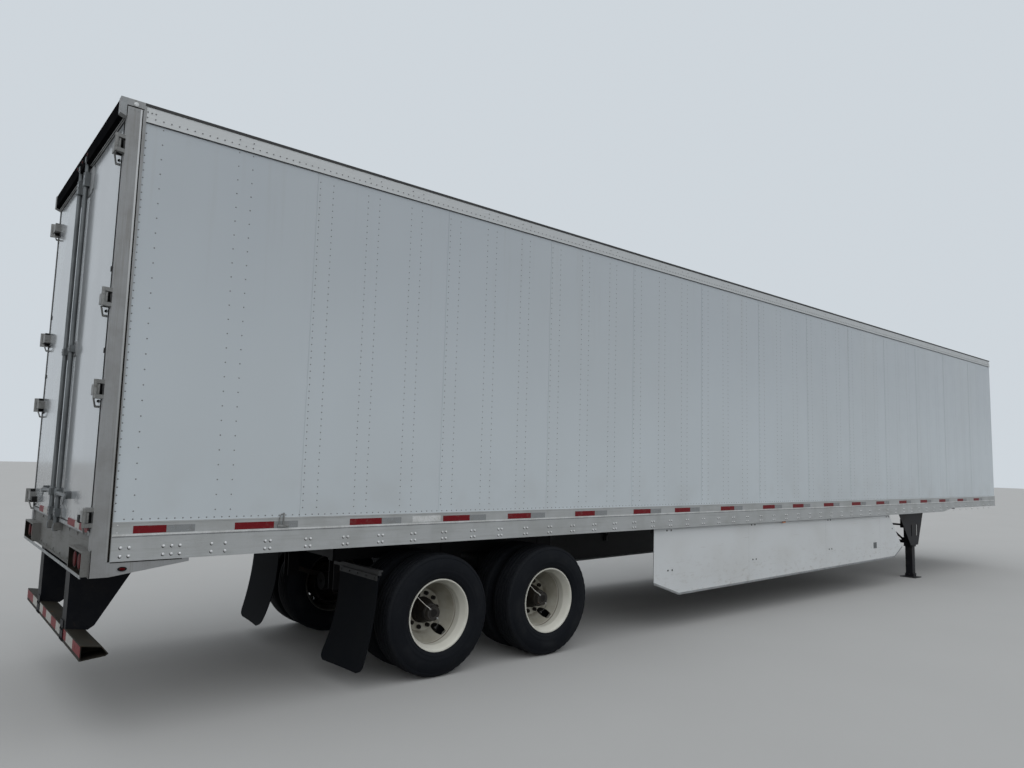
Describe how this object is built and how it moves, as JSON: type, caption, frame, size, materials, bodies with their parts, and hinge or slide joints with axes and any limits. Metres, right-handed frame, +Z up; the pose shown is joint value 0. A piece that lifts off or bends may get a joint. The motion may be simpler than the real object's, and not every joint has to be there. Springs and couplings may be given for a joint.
{
  "type": "semi trailer",
  "caption": "Long enclosed box semi trailer with white riveted sides, twin rear swing doors, sliding tandem axles on twin wheels, side skirts and landing legs.",
  "frame": {"origin": "on the ground, at the centre of the bounding box's base", "axes": "+X to the front (nose) along the longest side, +Y to the left, +Z up"},
  "size_m": [16.234, 2.628, 4.115],
  "materials": {
    "wall_white": "white painted aluminium sheet, satin, riveted",
    "rail_aluminium": "extruded aluminium, weathered satin",
    "post_aluminium": "brushed aluminium, dull",
    "roof_aluminium": "plain aluminium sheet",
    "deck_wood": "laminated hardwood boards",
    "frame_steel": "black undercoat on steel",
    "coupler_steel": "painted steel plate, greased",
    "kingpin_steel": "forged steel, bare",
    "hinge_metal": "cast aluminium, grimy",
    "header_black": "black paint, satin",
    "sill_aluminium": "galvanised steel, dusty",
    "guard_steel": "galvanised steel, brown with dirt",
    "strut_black": "black paint, satin",
    "lamp_lens": "moulded lens",
    "leg_black": "black paint, dusty",
    "crank_steel": "painted steel bar",
    "skirt_white": "white painted panel, satin",
    "bracket_steel": "galvanised steel",
    "coupling_metal": "cast metal",
    "frame_black": "black paint, dusty",
    "spring_steel": "black spring steel, rusty edges",
    "axle_black": "black paint, dusty",
    "chamber_black": "black paint, satin",
    "hanger_steel": "zinc plated bar",
    "flap_rubber": "black moulded rubber",
    "door_white": "white painted panel, glossy",
    "rod_galvanised": "galvanised steel tube",
    "tyre_rubber": "black rubber, dusty",
    "rim_cream": "cream white enamel on steel",
    "hub_iron": "cast iron, oily and dusty"
  },
  "bodies": {
    "body": {"bottom_rails": "rail_aluminium", "coupler": "coupler_steel", "crossmembers": "frame_steel", "floor_deck": "deck_wood", "front_rail": "rail_aluminium", "front_wall": "wall_white", "guard_struts": "strut_black", "hinge_butts": "hinge_metal", "impact_guard": "guard_steel", "kingpin": "kingpin_steel", "lamps": "lamp_lens", "landing_braces": "leg_black", "landing_crank": "crank_steel", "landing_legs": "leg_black", "nose_couplings": "coupling_metal", "rear_header": "header_black", "rear_posts": "post_aluminium", "rear_sill": "sill_aluminium", "roof": "roof_aluminium", "side_skirts": "skirt_white", "side_wall_left": "wall_white", "side_wall_right": "wall_white", "skirt_brackets": "bracket_steel", "slider_rails": "frame_steel", "top_rails": "rail_aluminium"},
    "right_door": {"right_door_panel": "door_white", "right_lock_rod": "rod_galvanised", "right_hinge_straps": "hinge_metal"},
    "left_door": {"left_door_panel": "door_white", "left_lock_rod": "rod_galvanised", "left_hinge_straps": "hinge_metal"},
    "tandem": {"tandem_frame": "frame_black", "leaf_springs": "spring_steel", "axles": "axle_black", "brake_chambers": "chamber_black", "flap_hangers": "hanger_steel", "mud_flaps": "flap_rubber"},
    "rear_right_wheels": {"rear_right_tyres": "tyre_rubber", "rear_right_rims": "rim_cream", "rear_right_hub": "hub_iron"},
    "rear_left_wheels": {"rear_left_tyres": "tyre_rubber", "rear_left_rims": "rim_cream", "rear_left_hub": "hub_iron"},
    "front_right_wheels": {"front_right_tyres": "tyre_rubber", "front_right_rims": "rim_cream", "front_right_hub": "hub_iron"},
    "front_left_wheels": {"front_left_tyres": "tyre_rubber", "front_left_rims": "rim_cream", "front_left_hub": "hub_iron"}
  },
  "joints": [
    {"name": "right_door_swing", "type": "hinge", "parent": "body", "child": "right_door", "pos_m": [-8.105, -1.302, 2.6], "axis": [0, 0, 1], "range_deg": [0, 270]},
    {"name": "left_door_swing", "type": "hinge", "parent": "body", "child": "left_door", "pos_m": [-8.105, 1.302, 2.6], "axis": [0, 0, -1], "range_deg": [0, 270]},
    {"name": "tandem_slide", "type": "slide", "parent": "body", "child": "tandem", "axis": [1, 0, 0], "range_m": [-0.9144, 0.9144]},
    {"name": "rear_right_wheels_turn", "type": "hinge", "parent": "tandem", "child": "rear_right_wheels", "pos_m": [-5.411, -0.984, 0.505], "axis": [0, 1, 0], "continuous": true},
    {"name": "rear_left_wheels_turn", "type": "hinge", "parent": "tandem", "child": "rear_left_wheels", "pos_m": [-5.411, 0.984, 0.505], "axis": [0, 1, 0], "continuous": true},
    {"name": "front_right_wheels_turn", "type": "hinge", "parent": "tandem", "child": "front_right_wheels", "pos_m": [-4.162, -0.984, 0.505], "axis": [0, 1, 0], "continuous": true},
    {"name": "front_left_wheels_turn", "type": "hinge", "parent": "tandem", "child": "front_left_wheels", "pos_m": [-4.162, 0.984, 0.505], "axis": [0, 1, 0], "continuous": true}
  ]
}
